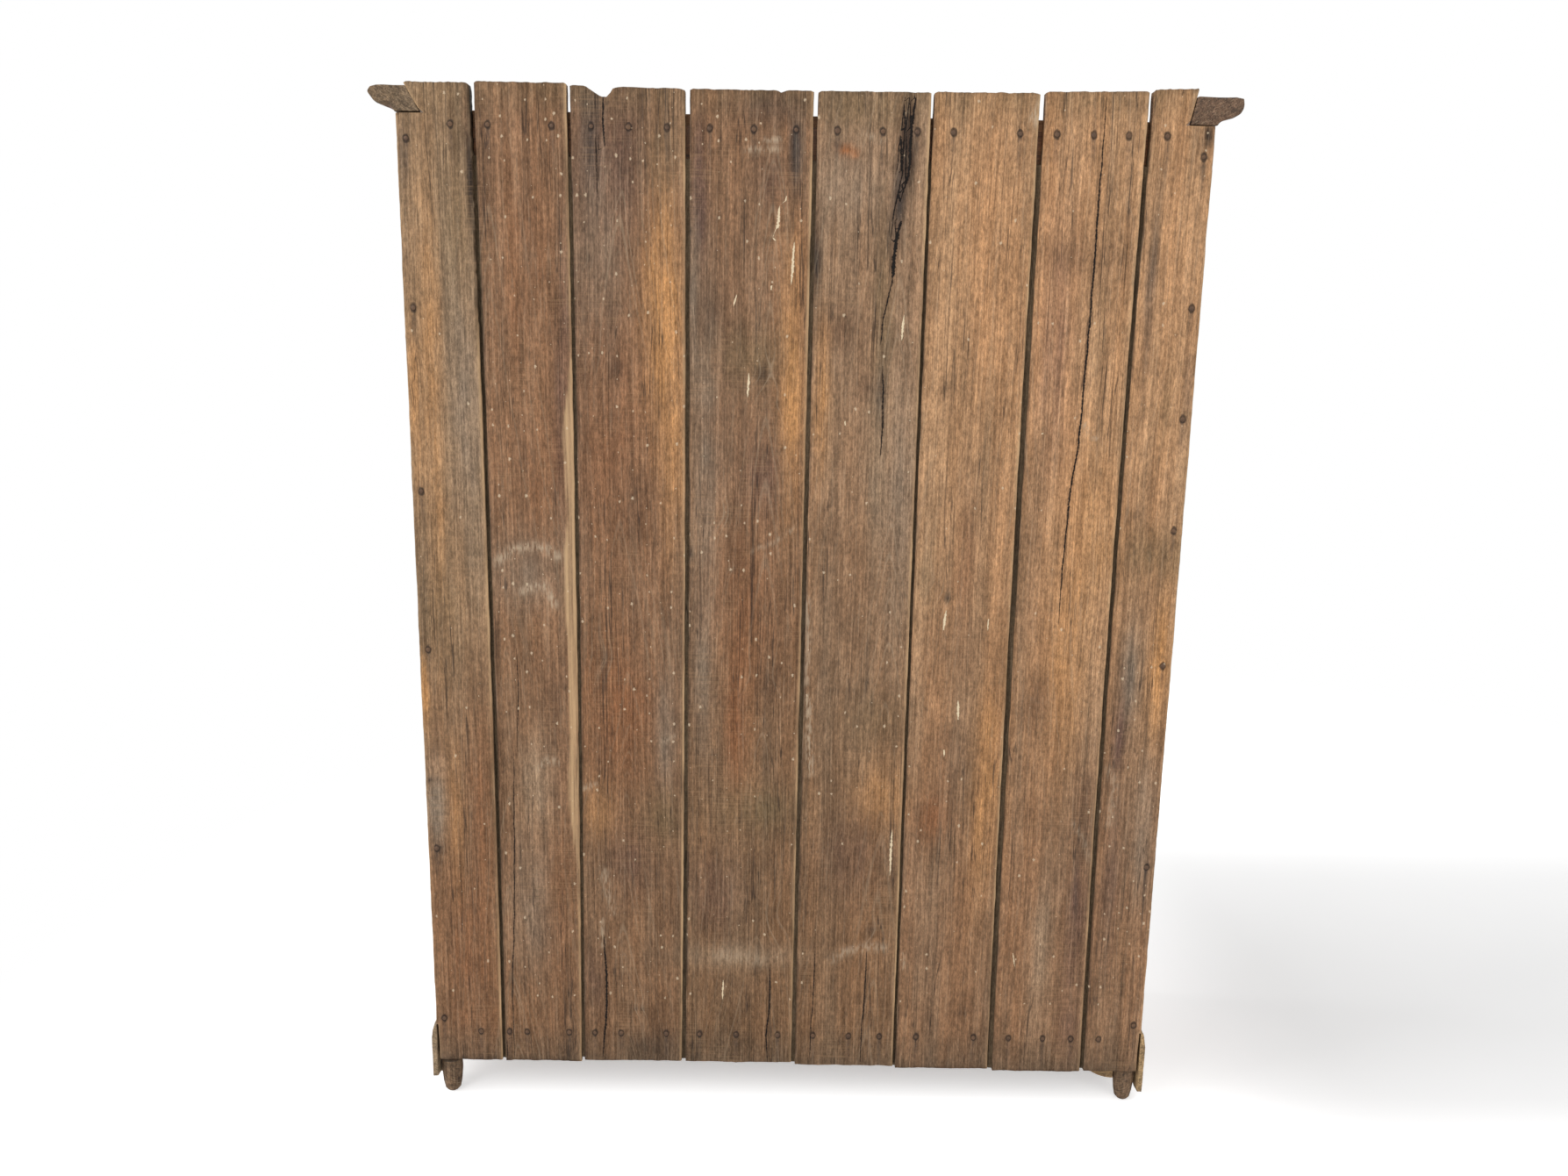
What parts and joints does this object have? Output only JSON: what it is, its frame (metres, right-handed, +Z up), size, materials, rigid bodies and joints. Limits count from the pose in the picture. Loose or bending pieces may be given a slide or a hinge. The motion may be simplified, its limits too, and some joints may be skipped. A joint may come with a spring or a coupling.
{
  "type": "glazed cabinet",
  "caption": "Tall cupboard with hinged, barred glass doors, lock and bolts, shelves, mitred crown moulding, shaped plinth skirt on turned feet and a nailed board back.",
  "frame": {"origin": "on the floor, in the middle of the bounding box", "axes": "+Z up, the glazed doors face -Y and the nailed back boards face +Y, +X is to the right of someone facing the doors"},
  "size_m": [1.6, 0.5024, 2.059],
  "materials": {
    "teak_boards": "dry, weathered, unfinished rear face",
    "teak_frame": "old oil and wax, worn at the edges",
    "teak_inside": "bare and dry",
    "glass": "old window glass",
    "brass": "tarnished",
    "iron": "rusty"
  },
  "bodies": {
    "carcass": {"post_front_left": "teak_frame", "post_front_right": "teak_frame", "post_back_left": "teak_frame", "post_back_right": "teak_frame", "rail_front_top": "teak_frame", "rail_front_bottom": "teak_frame", "rail_back_top": "teak_frame", "rail_back_bottom": "teak_frame", "side_rails_left": "teak_frame", "side_rails_right": "teak_frame", "side_panels": "teak_frame", "cleats": "teak_inside", "top_panel": "teak_inside", "bottom_panel": "teak_inside", "shelf_lower": "teak_inside", "shelf_middle": "teak_inside", "shelf_upper": "teak_inside", "back_board_1": "teak_boards", "back_board_2": "teak_boards", "back_board_3": "teak_boards", "back_board_4": "teak_boards", "back_board_5": "teak_boards", "back_board_6": "teak_boards", "back_board_7": "teak_boards", "back_board_8": "teak_boards", "cornice_front": "teak_frame", "cornice_left": "teak_frame", "cornice_right": "teak_frame", "skirt_front": "teak_frame", "skirt_left": "teak_frame", "skirt_right": "teak_frame", "rear_bracket": "teak_frame", "back_nails": "iron", "hinge_leaves_fixed": "brass", "hinge_pins": "brass"},
    "left_door": {"door_left_hinge_stile": "teak_frame", "door_left_meeting_stile": "teak_frame", "door_left_top_rail": "teak_frame", "door_left_bottom_rail": "teak_frame", "door_left_glazing_bars": "teak_frame", "door_left_panes": "glass", "door_left_glazing_beads": "teak_frame", "hinge_leaves_left": "brass", "strike_plate": "brass", "bolt_plates": "brass"},
    "right_door": {"door_right_hinge_stile": "teak_frame", "door_right_meeting_stile": "teak_frame", "door_right_top_rail": "teak_frame", "door_right_bottom_rail": "teak_frame", "door_right_glazing_bars": "teak_frame", "door_right_panes": "glass", "door_right_glazing_beads": "teak_frame", "hinge_leaves_right": "brass", "lock_case": "iron", "escutcheon": "brass", "knob": "brass"},
    "lock_bolt": {"lock_bolt": "brass"},
    "key": {"key": "iron"},
    "bolt_rod_top": {"bolt_rod_top": "brass"},
    "bolt_rod_bottom": {"bolt_rod_bottom": "brass"}
  },
  "joints": [
    {"name": "left_door_hinge", "type": "hinge", "parent": "carcass", "child": "left_door", "pos_m": [-0.70075, -0.2072, 1.0535], "axis": [0, 0, -1], "range_deg": [0, 165]},
    {"name": "right_door_hinge", "type": "hinge", "parent": "carcass", "child": "right_door", "pos_m": [0.70075, -0.2072, 1.0535], "axis": [0, 0, 1], "range_deg": [0, 165]},
    {"name": "key_turn", "type": "hinge", "parent": "right_door", "child": "key", "pos_m": [0.03125, -0.2012, 1.008], "axis": [0, -1, 0], "range_deg": [0, 285]},
    {"name": "lock_bolt_slide", "type": "slide", "parent": "right_door", "child": "lock_bolt", "axis": [-1, 0, 0], "range_m": [0, 0.009]},
    {"name": "top_bolt_slide", "type": "slide", "parent": "left_door", "child": "bolt_rod_top", "axis": [0, 0, 1], "range_m": [0, 0.022]},
    {"name": "bottom_bolt_slide", "type": "slide", "parent": "left_door", "child": "bolt_rod_bottom", "axis": [0, 0, -1], "range_m": [0, 0.022]}
  ],
  "couplings": [
    {"joint": "key_turn", "follows": "lock_bolt_slide", "rad_per_m": 523.6}
  ]
}
